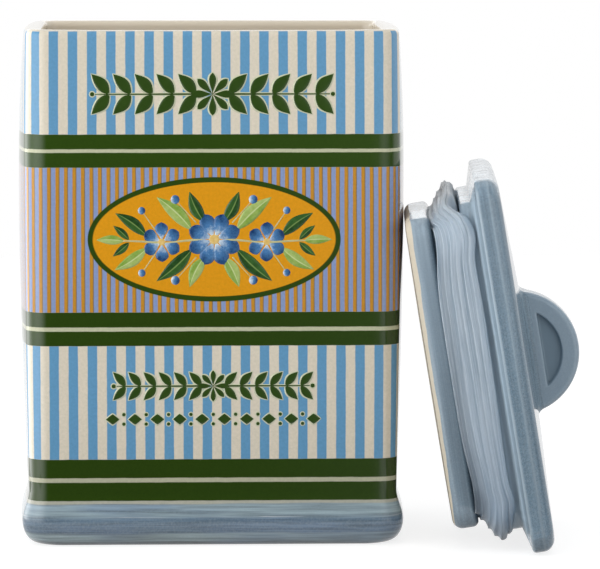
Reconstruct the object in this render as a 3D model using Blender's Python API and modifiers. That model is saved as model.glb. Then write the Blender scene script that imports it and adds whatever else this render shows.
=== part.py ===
"""A rectangular stoneware storage jar, shaped like an oil tin, with its lid taken off.

The lid leans against the jar's right end and stands on the lower end of its cover, with a
finned silicone gasket stretched over its plug. Metres, +Z up, +X to the right, the
origin at the middle of the jar's base.
"""
import math

import bmesh
import bpy
from mathutils import Euler, Matrix, Vector

MM = 0.001
CLEAR = 0.3 * MM

# Jar: its plan at the corners, and how far the short end walls swell past them
JAR_HEIGHT = 208.0 * MM
JAR_HALF_WIDTH = 74.0 * MM
JAR_HALF_DEPTH = 49.0 * MM
JAR_CORNER = 8.0 * MM
WALL = 6.0 * MM
FLOOR = 8.0 * MM
LIP_ROUND = 2.4 * MM
FLOOR_ROUND = 6.0 * MM
MOUTH_CORNER = 5.0 * MM
WIDEST_BELOW_RIM = 59.5 * MM
END_SWELL_RIM = 2.4 * MM
END_SWELL_WIDEST = 4.8 * MM
END_SWELL_FOOT = 2.3 * MM
WAIST_INSET = 0.4 * MM

# Foot: a flared and rounded moulding round the base
FOOT_TOP = 22.0 * MM
FOOT_PEAK = 9.8 * MM
FOOT_FLARE = 2.2 * MM
FOOT_UNDERCUT = 7.0 * MM

# Lid, in its own frame: x along the jar's width, z up from the plug's underside
COVER_OVERHANG = 1.7 * MM
COVER_CORNER = 8.0 * MM
LID_END_SWELL = 0.6 * MM
NECK_CLEARANCE = 1.4 * MM
FLANGE_CLEARANCE = 4.8 * MM
GROOVE_DEPTH = 3.2 * MM
GROOVE_CORNER = 4.5 * MM
HOLLOW_CORNER = 2.0 * MM
PLUG_ROUND = 4.0 * MM
PLUG_EDGE_ROUND = 1.2 * MM
FLANGE_HEIGHT = 10.4 * MM
GROOVE_WIDTH = 12.1 * MM
NECK_HEIGHT = 4.7 * MM
LID_WALL = 5.0 * MM
PLUG_FLOOR = 6.0 * MM
COVER_THICKNESS = 12.0 * MM
COVER_RISE = 2.4 * MM
COVER_LOW_ROUND = 2.6 * MM
COVER_TOP_ROUND = 5.0 * MM
CROWN_HEIGHT = 2.9 * MM
CROWN_POWER = 1.3

# Handle: part of a disc standing on the crown, dished on both faces
HANDLE_RADIUS = 25.2 * MM
HANDLE_CENTRE_DROP = 5.6 * MM
HANDLE_THICKNESS = 15.0 * MM
HANDLE_ROUND = 2.0 * MM
HANDLE_ROUND_SEGMENTS = 3
DISH_RIM = 6.8 * MM
DISH_LIFT = 4.4 * MM
DISH_DEPTH = 3.0 * MM

# Gasket: a band in the groove with thin fins that reach past the wall of the mouth
GASKET_OVERSIZE = 2.0 * MM
GASKET_PLAY = 0.6 * MM
BAND_THICKNESS = 2.4 * MM
FIN_COUNT = 6
FIN_THICKNESS = 1.1 * MM
FIN_TAPER = 0.3
FIN_SPREAD = 15.0 * MM
FIN_BEND = 3

# The fins droop at the lid's upper end and lift again just below it: how far, how far down
# the side as a length from that end, and over what length
FIN_DROOP = 2.6 * MM
FIN_DROOP_LENGTH = 9.8 * MM
FIN_LIFT = 1.8 * MM
FIN_LIFT_PLACE = 18.2 * MM
FIN_LIFT_LENGTH = 9.1 * MM

# How the lid leans on the jar
LEAN_ANGLE = math.radians(9.3)
LEAN_TURN = math.radians(-3.0)
LID_FORWARD = 28.0 * MM

# Mesh steps
CORNER_STEPS = 5
END_STEPS = 6
ROUND_STEPS = 4
FOOT_STEPS = 5
BODY_STEPS = 9
FLARE_STEPS = 5
CROWN_STEPS = 5
FIN_STEPS = 2
GASKET_SIDE_STEPS = 16
DISC_STEPS = 30
SHARP_ANGLE = math.radians(40)
EDGE_ANGLE = math.radians(60)
WELD_DISTANCE = 0.01 * MM

MOUTH_HALF_WIDTH = JAR_HALF_WIDTH - WALL
MOUTH_HALF_DEPTH = JAR_HALF_DEPTH - WALL
WIDEST_HEIGHT = JAR_HEIGHT - WIDEST_BELOW_RIM
GROOVE_ROOT = FLANGE_CLEARANCE + GROOVE_DEPTH
GROOVE_TOP = FLANGE_HEIGHT + GROOVE_WIDTH
PLUG_TOP = GROOVE_TOP + NECK_HEIGHT
COVER_SHOULDER = PLUG_TOP + COVER_THICKNESS
CROWN_TOP = COVER_SHOULDER + CROWN_HEIGHT
HANDLE_CENTRE = CROWN_TOP - HANDLE_CENTRE_DROP


def clear_scene():
    for obj in list(bpy.data.objects):
        bpy.data.objects.remove(obj, do_unlink=True)


def make_collection(name):
    collection = bpy.data.collections.new(name)
    bpy.context.scene.collection.children.link(collection)
    return collection


def make_material(name, colour, roughness):
    material = bpy.data.materials.new(name)
    material.use_nodes = True
    shader = material.node_tree.nodes["Principled BSDF"]
    shader.inputs["Base Color"].default_value = (*colour, 1.0)
    shader.inputs["Roughness"].default_value = roughness
    shader.inputs["Metallic"].default_value = 0.0
    return material


def between(low, high, share):
    return low + (high - low) * share


def smooth_step(share):
    return share * share * (3.0 - 2.0 * share)


def rounded_plan(half_width, half_depth, corner, swell, side_steps=1, end_steps=END_STEPS):
    """Points round a rectangle with round corners, whose two short ends swell outwards."""
    points = []
    quarter = math.pi / 2
    centres = (
        (half_width - corner, half_depth - corner, 0.0, side_steps),
        (corner - half_width, half_depth - corner, quarter, end_steps),
        (corner - half_width, corner - half_depth, 2 * quarter, side_steps),
        (half_width - corner, corner - half_depth, 3 * quarter, end_steps),
    )
    for index, (centre_x, centre_y, start, straight_steps) in enumerate(centres):
        for step in range(CORNER_STEPS + 1):
            angle = start + quarter * step / CORNER_STEPS
            points.append(Vector((centre_x + corner * math.cos(angle), centre_y + corner * math.sin(angle))))
        last = points[-1]
        next_x, next_y, next_start, _ = centres[(index + 1) % 4]
        goal = Vector((next_x + corner * math.cos(next_start), next_y + corner * math.sin(next_start)))
        for step in range(1, straight_steps):
            points.append(last.lerp(goal, step / straight_steps))
    for point in points:
        across = point.y / half_depth
        point.x += swell * (1.0 - across * across) * point.x / half_width
    return points


def level_ring(plan, height):
    return [Vector((point.x, point.y, height)) for point in plan]


def loft(name, rings, closed=False):
    """A mesh through rings of equal count, capped at both ends, or joined end to start."""
    bm = bmesh.new()
    rows = [[bm.verts.new(point) for point in ring] for ring in rings]
    count = len(rows[0])
    pairs = list(zip(rows, rows[1:]))
    if closed:
        pairs.append((rows[-1], rows[0]))
    for lower, upper in pairs:
        for index in range(count):
            after = (index + 1) % count
            bm.faces.new((lower[index], lower[after], upper[after], upper[index]))
    if not closed:
        bm.faces.new(list(reversed(rows[0])))
        bm.faces.new(rows[-1])
    mesh = bpy.data.meshes.new(name)
    bm.to_mesh(mesh)
    bm.free()
    mesh.shade_smooth()
    mesh.set_sharp_from_angle(angle=SHARP_ANGLE)
    return mesh


def add_object(name, mesh, collection, material=None, parent=None):
    obj = bpy.data.objects.new(name, mesh)
    collection.objects.link(obj)
    if material:
        mesh.materials.append(material)
    if parent:
        obj.parent = parent
    return obj


def add_cutter(name, mesh, collection, parent):
    cutter = add_object(name, mesh, collection, parent=parent)
    cutter.hide_render = True
    cutter.display_type = "WIRE"
    return cutter


def cut(target, cutter):
    modifier = target.modifiers.new(cutter.name, "BOOLEAN")
    modifier.operation = "DIFFERENCE"
    modifier.solver = "EXACT"
    modifier.object = cutter


# Jar


def end_swell(height):
    """How far the end walls stand past the jar's corners at a height."""
    if height > WIDEST_HEIGHT:
        share = (height - WIDEST_HEIGHT) / (JAR_HEIGHT - WIDEST_HEIGHT)
        return between(END_SWELL_WIDEST, END_SWELL_RIM, share * share)
    share = min(1.0, (WIDEST_HEIGHT - height) / (WIDEST_HEIGHT - FOOT_TOP))
    return between(END_SWELL_WIDEST, END_SWELL_FOOT, share * share)


def body_inset(height):
    """The walls draw in slightly below the widest height, down to the foot."""
    share = min(1.0, max(0.0, (WIDEST_HEIGHT - height) / (WIDEST_HEIGHT - FOOT_TOP)))
    return WAIST_INSET * share * share


def jar_ring(height, inset, corner):
    plan = rounded_plan(JAR_HALF_WIDTH - inset, JAR_HALF_DEPTH - inset, corner, end_swell(height))
    return level_ring(plan, height)


def jar_rings():
    rings = []
    foot_corner = JAR_CORNER + FOOT_FLARE
    for step in range(FOOT_STEPS + 1):
        angle = math.pi / 2 * step / FOOT_STEPS
        inset = FOOT_UNDERCUT * (1.0 - math.sin(angle)) - FOOT_FLARE
        rings.append(jar_ring(FOOT_PEAK * (1.0 - math.cos(angle)), inset, foot_corner))
    for step in range(1, FLARE_STEPS + 1):
        share = step / FLARE_STEPS
        inset = between(-FOOT_FLARE, WAIST_INSET, smooth_step(share))
        rings.append(jar_ring(between(FOOT_PEAK, FOOT_TOP, share), inset, JAR_CORNER))
    lip_base = JAR_HEIGHT - LIP_ROUND
    for step in range(1, BODY_STEPS + 1):
        height = between(FOOT_TOP, lip_base, step / BODY_STEPS)
        rings.append(jar_ring(height, body_inset(height), JAR_CORNER))
    for step in range(1, ROUND_STEPS + 1):
        angle = math.pi / 2 * step / ROUND_STEPS
        inset = LIP_ROUND * (1.0 - math.cos(angle))
        rings.append(jar_ring(lip_base + LIP_ROUND * math.sin(angle), inset, JAR_CORNER))
    for step in range(ROUND_STEPS, -1, -1):
        angle = math.pi / 2 * step / ROUND_STEPS
        inset = WALL - LIP_ROUND * (1.0 - math.cos(angle))
        rings.append(jar_ring(lip_base + LIP_ROUND * math.sin(angle), inset, MOUTH_CORNER))
    floor_top = FLOOR + FLOOR_ROUND
    for step in range(1, BODY_STEPS + 1):
        height = between(lip_base, floor_top, step / BODY_STEPS)
        rings.append(jar_ring(height, body_inset(height) + WALL, MOUTH_CORNER))
    for step in range(1, ROUND_STEPS + 1):
        angle = math.pi / 2 * step / ROUND_STEPS
        inset = body_inset(floor_top) + WALL + FLOOR_ROUND * (1.0 - math.cos(angle))
        rings.append(jar_ring(floor_top - FLOOR_ROUND * math.sin(angle), inset, MOUTH_CORNER))
    return rings


# Lid


def lid_ring(height, half_width, half_depth, corner):
    return level_ring(rounded_plan(half_width, half_depth, corner, LID_END_SWELL), height)


def mouth_ring(height, clearance):
    """A ring of the plug, drawn in from the jar's mouth by a clearance."""
    corner = max(HOLLOW_CORNER, GROOVE_CORNER + GROOVE_ROOT - clearance)
    return lid_ring(height, MOUTH_HALF_WIDTH - clearance, MOUTH_HALF_DEPTH - clearance, corner)


def cover_ring(height, inset, corner):
    inset -= COVER_OVERHANG
    return lid_ring(height, JAR_HALF_WIDTH - inset, JAR_HALF_DEPTH - inset, corner)


def plug_rings():
    rings = []
    for step in range(ROUND_STEPS + 1):
        angle = math.pi / 2 * step / ROUND_STEPS
        clearance = FLANGE_CLEARANCE + PLUG_ROUND * (1.0 - math.sin(angle))
        rings.append(mouth_ring(PLUG_ROUND * (1.0 - math.cos(angle)), clearance))
    for step in range(ROUND_STEPS + 1):
        angle = math.pi / 2 * step / ROUND_STEPS
        height = FLANGE_HEIGHT - PLUG_EDGE_ROUND * (1.0 - math.sin(angle))
        rings.append(mouth_ring(height, FLANGE_CLEARANCE + PLUG_EDGE_ROUND * (1.0 - math.cos(angle))))
    rings.append(mouth_ring(FLANGE_HEIGHT, GROOVE_ROOT))
    rings.append(mouth_ring(GROOVE_TOP, GROOVE_ROOT))
    for step in range(ROUND_STEPS, -1, -1):
        angle = math.pi / 2 * step / ROUND_STEPS
        height = GROOVE_TOP + PLUG_EDGE_ROUND * (1.0 - math.sin(angle))
        rings.append(mouth_ring(height, NECK_CLEARANCE + PLUG_EDGE_ROUND * (1.0 - math.cos(angle))))
    rings.append(mouth_ring(PLUG_TOP, NECK_CLEARANCE))
    rings.append(mouth_ring(PLUG_TOP, GROOVE_ROOT + LID_WALL))
    rings.append(mouth_ring(PLUG_FLOOR, GROOVE_ROOT + LID_WALL))
    return rings


def crown_rings(lift):
    """Rings that shrink towards the middle of the cover while its top rises."""
    rings = []
    shoulder = COVER_TOP_ROUND - COVER_OVERHANG
    half_width = JAR_HALF_WIDTH - shoulder
    half_depth = JAR_HALF_DEPTH - shoulder
    for step in range(CROWN_STEPS):
        size = 1.0 - step / CROWN_STEPS
        height = COVER_SHOULDER + CROWN_HEIGHT * (1.0 - size**CROWN_POWER)
        plan = rounded_plan(half_width, half_depth, COVER_CORNER, LID_END_SWELL)
        rings.append(level_ring([point * size for point in plan], height + lift))
    return rings


def cover_rings():
    rings = []
    underside = PLUG_TOP + CLEAR
    rings.append(mouth_ring(underside, NECK_CLEARANCE))
    edge_base = underside + COVER_RISE
    for step in range(ROUND_STEPS + 1):
        angle = math.pi / 2 * step / ROUND_STEPS
        height = edge_base + COVER_LOW_ROUND * (1.0 - math.cos(angle))
        rings.append(cover_ring(height, COVER_LOW_ROUND * (1.0 - math.sin(angle)), COVER_CORNER))
    for step in range(ROUND_STEPS):
        angle = math.pi / 2 * step / ROUND_STEPS
        height = COVER_SHOULDER - COVER_TOP_ROUND * (1.0 - math.sin(angle))
        rings.append(cover_ring(height, COVER_TOP_ROUND * (1.0 - math.cos(angle)), COVER_CORNER))
    return rings + crown_rings(0.0)


def crown_cutter_mesh():
    """What the cover's top takes out of the handle's foot, a clearance above the crown."""
    rings = crown_rings(CLEAR)
    base = [Vector((point.x, point.y, 0.0)) for point in rings[0]]
    return loft("crown_cutter", [base] + rings)


def disc_outline(radius, base):
    """The part of a circle above a level line, as points from right to left."""
    start = math.asin(base / radius)
    sweep = math.pi - 2 * start
    angles = [start + sweep * step / DISC_STEPS for step in range(DISC_STEPS + 1)]
    return [(radius * math.cos(angle), radius * math.sin(angle)) for angle in angles]


def plate_mesh(name, outline, thickness):
    """A flat plate with the outline in x and z, centred on the lid's long axis."""
    curve = bpy.data.curves.new(name, "CURVE")
    curve.dimensions = "2D"
    curve.fill_mode = "BOTH"
    curve.extrude = thickness / 2
    spline = curve.splines.new("POLY")
    spline.points.add(len(outline) - 1)
    for point, (x, z) in zip(spline.points, outline):
        point.co = (x, z, 0.0, 1.0)
    spline.use_cyclic_u = True
    drawn = bpy.data.objects.new(name, curve)
    bpy.context.scene.collection.objects.link(drawn)
    bpy.context.view_layer.update()
    mesh = bpy.data.meshes.new_from_object(drawn.evaluated_get(bpy.context.evaluated_depsgraph_get()))
    bpy.data.objects.remove(drawn)
    bm = bmesh.new()
    bm.from_mesh(mesh)
    bmesh.ops.remove_doubles(bm, verts=bm.verts, dist=WELD_DISTANCE)
    bm.transform(Matrix.Translation((0.0, 0.0, HANDLE_CENTRE)) @ Matrix.Rotation(math.pi / 2, 4, "X"))
    bm.to_mesh(mesh)
    bm.free()
    mesh.name = name
    return mesh


def build_handle(collection, cutters, material, frame):
    mesh = plate_mesh("lid_handle", disc_outline(HANDLE_RADIUS, 0.0), HANDLE_THICKNESS)
    handle = add_object("lid_handle", mesh, collection, material, frame)
    bevel = handle.modifiers.new("edges", "BEVEL")
    bevel.width = HANDLE_ROUND
    bevel.segments = HANDLE_ROUND_SEGMENTS
    bevel.limit_method = "ANGLE"
    bevel.angle_limit = EDGE_ANGLE
    dish_base = HANDLE_CENTRE_DROP + DISH_LIFT
    outline = disc_outline(HANDLE_RADIUS - DISH_RIM, dish_base)
    for side, label in ((-1, "front"), (1, "back")):
        dish = plate_mesh("dish_" + label, outline, 2 * DISH_DEPTH)
        dish.transform(Matrix.Translation((0.0, side * HANDLE_THICKNESS / 2, 0.0)))
        cut(handle, add_cutter("dish_" + label, dish, cutters, frame))
    cut(handle, add_cutter("crown_cutter", crown_cutter_mesh(), cutters, frame))
    return handle


# Gasket


def fin_shift(point):
    """How far the fins' tips stand up or hang down at a point of the ring."""
    from_end = MOUTH_HALF_WIDTH + GASKET_OVERSIZE + point.x
    droop = FIN_DROOP * math.exp(-((from_end / FIN_DROOP_LENGTH) ** 2))
    lift = FIN_LIFT * math.exp(-(((from_end - FIN_LIFT_PLACE) / FIN_LIFT_LENGTH) ** 2))
    return lift - droop


def gasket_ring(offset, root_height, tip_height, reach):
    """A ring at an offset from the groove's root, reach 0 on the band and 1 at a fin's tip."""
    inner = GROOVE_ROOT - CLEAR - offset
    half_width = MOUTH_HALF_WIDTH - inner
    half_depth = MOUTH_HALF_DEPTH - inner
    corner = GROOVE_CORNER + CLEAR + offset
    plan = rounded_plan(half_width, half_depth, corner, LID_END_SWELL, GASKET_SIDE_STEPS)
    ring = []
    for point in plan:
        height = between(root_height, tip_height + fin_shift(point), reach**FIN_BEND)
        ring.append(Vector((point.x, point.y, height)))
    return ring


def gasket_rings():
    band_low = FLANGE_HEIGHT + GASKET_PLAY
    band_high = GROOVE_TOP - GASKET_PLAY
    middle = (band_low + band_high) / 2
    fin_length = GASKET_OVERSIZE + GROOVE_ROOT - CLEAR - BAND_THICKNESS
    rings = [gasket_ring(0.0, band_low, band_low, 0.0)]
    for fin in range(FIN_COUNT):
        place = fin / (FIN_COUNT - 1)
        root = between(band_low + FIN_THICKNESS / 2, band_high - FIN_THICKNESS / 2, place)
        tip = middle + (FIN_SPREAD - FIN_THICKNESS) * (place - 0.5)
        for side, steps in ((-1, range(FIN_STEPS + 1)), (1, range(FIN_STEPS, -1, -1))):
            for step in steps:
                reach = step / FIN_STEPS
                half = FIN_THICKNESS / 2 * (1.0 - FIN_TAPER * reach)
                offset = BAND_THICKNESS + fin_length * reach
                rings.append(gasket_ring(offset, root + side * half, tip + side * half, reach))
    rings.append(gasket_ring(0.0, band_high, band_high, 0.0))
    return rings


def lean_lid(frame, rings):
    """Turn the lid on its edge and set it against the jar's end wall, just off the table."""
    turn = Euler((0.0, math.pi / 2 - LEAN_ANGLE, LEAN_TURN)).to_matrix()
    points = [turn @ point for ring in rings for point in ring]
    widest = JAR_HALF_WIDTH + CLEAR
    slide = 0.0
    for point in points:
        across = (point.y - LID_FORWARD) / JAR_HALF_DEPTH
        if abs(across) < 1.0:
            wall = widest + END_SWELL_WIDEST * (1.0 - across * across)
            slide = max(slide, wall - point.x)
    lowest = min(point.z for point in points)
    frame.location = (slide, -LID_FORWARD, CLEAR - lowest)
    frame.rotation_euler = turn.to_euler()


def main():
    clear_scene()
    parts = make_collection("storage_jar")
    cutters = make_collection("cutters")
    body_glaze = make_material("printed_glaze", (0.62, 0.58, 0.46), 0.18)
    lid_glaze = make_material("blue_grey_glaze", (0.17, 0.25, 0.33), 0.2)
    silicone = make_material("silicone", (0.35, 0.44, 0.52), 0.35)

    add_object("jar_body", loft("jar_body", jar_rings()), parts, body_glaze)

    frame = bpy.data.objects.new("lid_frame", None)
    parts.objects.link(frame)
    plug = plug_rings()
    cover = cover_rings()
    gasket = gasket_rings()
    lean_lid(frame, plug + cover + gasket)
    add_object("lid_plug", loft("lid_plug", plug), parts, lid_glaze, frame)
    add_object("lid_cover", loft("lid_cover", cover), parts, lid_glaze, frame)
    add_object("gasket", loft("gasket", gasket, closed=True), parts, silicone, frame)
    build_handle(parts, cutters, lid_glaze, frame)


main()
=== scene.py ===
"""Looks for the ceramic storage jar: printed and glazed jar, glazed lid with its handle, silicone gasket.

Metres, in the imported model's frame: +Z up, the front face looks along -Y, the lid leans on the right end.
"""
from math import atan2, copysign, cos, exp, hypot, pi, radians, sin, sqrt

import bmesh
import bpy
from mathutils import Euler, Matrix, Vector, noise


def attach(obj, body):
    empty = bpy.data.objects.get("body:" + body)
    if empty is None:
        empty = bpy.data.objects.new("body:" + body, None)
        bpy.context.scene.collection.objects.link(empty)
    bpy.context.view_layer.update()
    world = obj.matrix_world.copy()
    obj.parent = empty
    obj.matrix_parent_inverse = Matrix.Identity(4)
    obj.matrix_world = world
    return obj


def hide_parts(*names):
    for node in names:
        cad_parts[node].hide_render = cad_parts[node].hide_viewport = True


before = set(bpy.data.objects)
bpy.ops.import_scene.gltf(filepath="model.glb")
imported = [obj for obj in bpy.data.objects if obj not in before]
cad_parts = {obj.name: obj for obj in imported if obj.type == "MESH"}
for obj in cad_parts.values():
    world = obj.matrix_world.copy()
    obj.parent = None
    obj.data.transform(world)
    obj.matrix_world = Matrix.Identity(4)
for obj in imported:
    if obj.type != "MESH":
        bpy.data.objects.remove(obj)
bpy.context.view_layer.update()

MM = 0.001
TAU = 2 * pi

# Jar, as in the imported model
JAR_HEIGHT = 208 * MM
JAR_HALF_WIDTH = 74 * MM
JAR_HALF_DEPTH = 49 * MM
JAR_CORNER = 8 * MM
WALL = 6 * MM
WALL_WOBBLE = 0.12 * MM
FLOOR = 8 * MM
LIP_ROUND = 2.4 * MM
LIP_BASE = JAR_HEIGHT - LIP_ROUND
LIP_DIP = 0.5 * MM
FLOOR_ROUND = 6 * MM
MOUTH_CORNER = 5 * MM
MOUTH_SWELL_SHARE = 0.2
LOW_CORNER_LOSS = 0.8 * MM
WIDEST_HEIGHT = 148.5 * MM
END_SWELL_RIM = 2.4 * MM
END_SWELL_WIDEST = 4.8 * MM
END_SWELL_FOOT = 2.3 * MM
WAIST_INSET = 0.4 * MM
FOOT_TOP = 22 * MM
FOOT_PEAK = 9.8 * MM
FOOT_FLARE = 2.2 * MM
FOOT_UNDERCUT = 7 * MM
BASE_RECESS = 1.5 * MM
BASE_RING = 6 * MM
BASE_INSET = FOOT_UNDERCUT - FOOT_FLARE + BASE_RING
RECESS_SLOPE = 1.5 * MM
JAR_STEPS = (10, 48, 26)
LIP_STEPS = 8

# Lid, in its own frame: x towards its lower end, y towards the back, z away from the jar
MOUTH_HALF_WIDTH = JAR_HALF_WIDTH - WALL
MOUTH_HALF_DEPTH = JAR_HALF_DEPTH - WALL
COVER_OVERHANG = 1.7 * MM
COVER_CORNER = 8 * MM
LID_END_SWELL = 0.6 * MM
LID_WOBBLE = 0.10 * MM
NECK_CLEARANCE = 1.4 * MM
FLANGE_CLEARANCE = 4.8 * MM
GROOVE_DEPTH = 3.2 * MM
GROOVE_CORNER = 4.5 * MM
GROOVE_ROOT = FLANGE_CLEARANCE + GROOVE_DEPTH
PLUG_ROUND = 4 * MM
PLUG_EDGE_ROUND = 1.2 * MM
FLANGE_EDGE_ROUND = 2.4 * MM
PLUG_DOME = 0.5 * MM
FLANGE_HEIGHT = 10.4 * MM
GROOVE_TOP = 22.5 * MM
PLUG_TOP = 27.2 * MM
COVER_RISE = 2.4 * MM
COVER_LOW_ROUND = 1.6 * MM
COVER_TOP_ROUND = 5 * MM
COVER_SHOULDER = 39.2 * MM
CROWN_HEIGHT = 2.9 * MM
CROWN_POWER = 1.3
CROWN_SQUARENESS = 8
CROWN_TOP = COVER_SHOULDER + CROWN_HEIGHT
HANDLE_RADIUS = 25.2 * MM
HANDLE_CENTRE = CROWN_TOP - 5.6 * MM
HANDLE_THICKNESS = 15 * MM
HANDLE_ROUND = 2 * MM
RIM_BULGE = 0.15 * MM
BURIED_HALF = 0.12
DISH_RADIUS = 18.4 * MM
DISH_BASE = 10 * MM
DISH_DEPTH = 2.2 * MM
DISH_SLOPE = 0.7 * MM
DISH_CORNER = 0.5 * MM
UPPER_END_SKEW = 0.024
FILLET = 2.4 * MM
FILLET_SINK = 0.05 * MM
# Heights of the two painted highlight lines along the cover's sides
COVER_EDGE_PAINTED_HIGHLIGHT = 29.9 * MM
COVER_TOP_PAINTED_HIGHLIGHT = 34.8 * MM
LEAN_ANGLE = radians(9.3)
LEAN_TURN = radians(-3)
LID_STEPS = (10, 44, 28)

# Gasket
GASKET_OVERSIZE = 2 * MM
BAND_THICKNESS = 2.4 * MM
BAND_INSIDE = -0.3 * MM
BAND_CLEARANCE = 0.6 * MM
FIN_COUNT = 6
FIN_STEP = 0.22 * MM
FIN_ROUND = 0.07 * MM
FIN_NOTCH = 0.08 * MM
FIN_RAGGED = 0.6 * MM
TURN_FROM, TURN_SPAN = 45 * MM, 25 * MM
END_FROM, END_SPAN = 60 * MM, 8 * MM
GASKET_STEPS = (12, 90, 52)

# The fins' borders over the lid's length, in millimetres: humps by height, middle and width
LOW_EDGE = 8.7
LOW_EDGE_HUMPS = ((2.4, -54, 15), (1.5, 47, 14), (-1, -70, 5))
HIGH_EDGE = 24.5
HIGH_EDGE_HUMPS = ((2.3, -54, 7), (1.2, 54, 5), (1.2, -20, 32), (-1.2, 70, 4))
FRONT_CORNER_HUMPS = ((2.8, -66.5, 3.3),)

# The fins' reach over an end, in millimetres: at the flange, gained by a share of the way to the cover,
# and lost again from a share on over a span
UPPER_END_REACH = (-11.4, 12.2, 0.72, 1.6, 0.75, 0.25)
LOWER_END_REACH = (-12.3, 12.7, 0.6, 4.5, 0.6, 0.5)

# Print on the jar
FOOT_GLAZE_TOP = 17.3 * MM
WIDE_STRIPES = 63
FINE_STRIPES = 142
WIDE_START = -2.35 * MM
FINE_START = -0.08 * MM
OVAL_X = 0.55 * MM
OVAL_Z = 124.04 * MM
OVAL_HALF_WIDTH = 50.6 * MM
OVAL_HALF_HEIGHT = 24.97 * MM
OVAL_RING = 2.07 * MM
INK = 0.12 * MM
INK_STEP = 0.004 * MM
INK_ROOT = -0.05 * MM
FLOWER_EYE = 0.6 * MM
PINHOLE = (39.5 * MM, 43 * MM, 200.6 * MM)
EDGE_BLUR = 0.12 * MM

CREAM = (0.69, 0.63, 0.515)
BLUE = (0.125, 0.312, 0.51)
GREEN = (0.027, 0.061, 0.006)
# Painted shade: a darker copy of the green for the lower bands
SHADED_GREEN = (0.024, 0.053, 0.005)
LINE = (0.51, 0.52, 0.36)
# Painted shade: a darker copy of the line for the lower bands
SHADED_LINE = (0.46, 0.46, 0.335)
FOOT_STRIP = (0.42, 0.42, 0.35)
ORANGE = (0.7, 0.305, 0.011)
STRIPE_ORANGE = (0.52, 0.246, 0.028)
LAVENDER = (0.242, 0.315, 0.535)
RUST = (0.22, 0.165, 0.075)
CLAY = (0.67, 0.61, 0.49)
# Colour of the painted highlight lines on the cover
PAINTED_HIGHLIGHT_BLUE = (0.37, 0.46, 0.53)
WHITE = (1, 1, 1)

# The print from the foot to the rim: height from which it holds in millimetres, colour, pattern
PLAIN, STRIPED, FINE_STRIPED = (0, 0, 0), (1, 0, 0), (0, 1, 0)
BANDS = (
    (0, FOOT_STRIP, PLAIN),
    (18.6, SHADED_GREEN, PLAIN),
    (26, SHADED_LINE, PLAIN),
    (27.8, SHADED_GREEN, PLAIN),
    (35.4, CREAM, STRIPED),
    (81.2, SHADED_GREEN, PLAIN),
    (87.14, LINE, PLAIN),
    (88.75, SHADED_GREEN, PLAIN),
    (94.85, CREAM, FINE_STRIPED),
    (152.85, GREEN, PLAIN),
    (158.85, LINE, PLAIN),
    (160.25, GREEN, PLAIN),
    (166.2, CREAM, STRIPED),
    (207.2, CREAM, PLAIN),
)

# Studio
CAMERA_PLACE = (-0.02223, -1.72203, 0.27401)
CAMERA_DIP = 0.10014
CAMERA_TURN = -0.0341
LENS = 252


def between(low, high, share):
    return low + (high - low) * share


def smooth_step(share):
    share = min(1, max(0, share))
    return share * share * (3 - 2 * share)


def humps(x, table):
    """Sum of smooth humps, given by their heights, middles and widths."""
    return sum(height * exp(-(((x - middle) / width) ** 2)) for height, middle, width in table)


def quarter_round(steps, first=0):
    """Shares of a radius left and gone, from 1 to 0 and from 0 to 1, along a quarter circle."""
    angles = [pi / 2 * step / steps for step in range(first, steps + 1)]
    return [(1 - sin(angle), 1 - cos(angle)) for angle in angles]


def mirrored(angle, direction):
    """An angle, or its mirror image for the left half."""
    return angle if direction > 0 else pi - angle


# Meshes


def rounded_plan(half_width, half_depth, corner, swell, steps):
    """Points round a rectangle with round corners, whose short ends swell outwards."""
    corner_steps, side_steps, end_steps = steps
    points = []
    for index, (right, back) in enumerate(((1, 1), (-1, 1), (-1, -1), (1, -1))):
        centre = Vector((right * (half_width - corner), back * (half_depth - corner)))
        for step in range(corner_steps + 1):
            angle = pi / 2 * (index + step / corner_steps)
            points.append(centre + corner * Vector((cos(angle), sin(angle))))
        last = points[-1]
        goal, straight = ((last.x, -last.y), end_steps) if index % 2 else ((-last.x, last.y), side_steps)
        points += [last.lerp(goal, step / straight) for step in range(1, straight)]
    for point in points:
        point.x += swell * (1 - (point.y / half_depth) ** 2) * point.x / half_width
    return points


def plan_lengths(plan):
    """Distance along a closed plan to each of its points, and all the way round."""
    lengths = [0]
    for point, after in zip(plan, plan[1:] + plan[:1]):
        lengths.append(lengths[-1] + (after - point).length)
    return lengths


def bridge(bm, rows, closed=False, layer=None, place=None):
    """Joins rings of equal count by quads. A map takes place(row, column), with columns past the seam."""
    count = len(rows[0])
    for row in range(len(rows) if closed else len(rows) - 1):
        above = (row + 1) % len(rows)
        for column in range(count):
            spots = ((row, column), (row, column + 1), (above, column + 1), (above, column))
            face = bm.faces.new([rows[level][index % count] for level, index in spots])
            face.smooth = True
            if layer:
                for loop, spot in zip(face.loops, spots):
                    loop[layer].uv = place(*spot)


def finished_mesh(bm, name):
    mesh = bpy.data.meshes.new(name)
    bm.to_mesh(mesh)
    bm.free()
    return mesh


def loft(name, rings, closed=False, map_name=None, place=None):
    """A mesh through rings of equal count, capped at both ends, or joined end to start."""
    bm = bmesh.new()
    rows = [[bm.verts.new(point) for point in ring] for ring in rings]
    layer = bm.loops.layers.uv.new(map_name) if map_name else None
    bridge(bm, rows, closed, layer, place)
    if not closed:
        bm.faces.new(list(reversed(rows[0])))
        bm.faces.new(rows[-1])
    return finished_mesh(bm, name)


def add_object(name, data):
    obj = bpy.data.objects.new(name, data)
    bpy.context.scene.collection.objects.link(obj)
    return obj


def add_piece(name, mesh, materials, body, matrix=None):
    obj = add_object(name, mesh)
    for material in materials:
        mesh.materials.append(material)
    if matrix:
        mesh.transform(matrix)
    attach(obj, body)
    return obj


# Node trees


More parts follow.
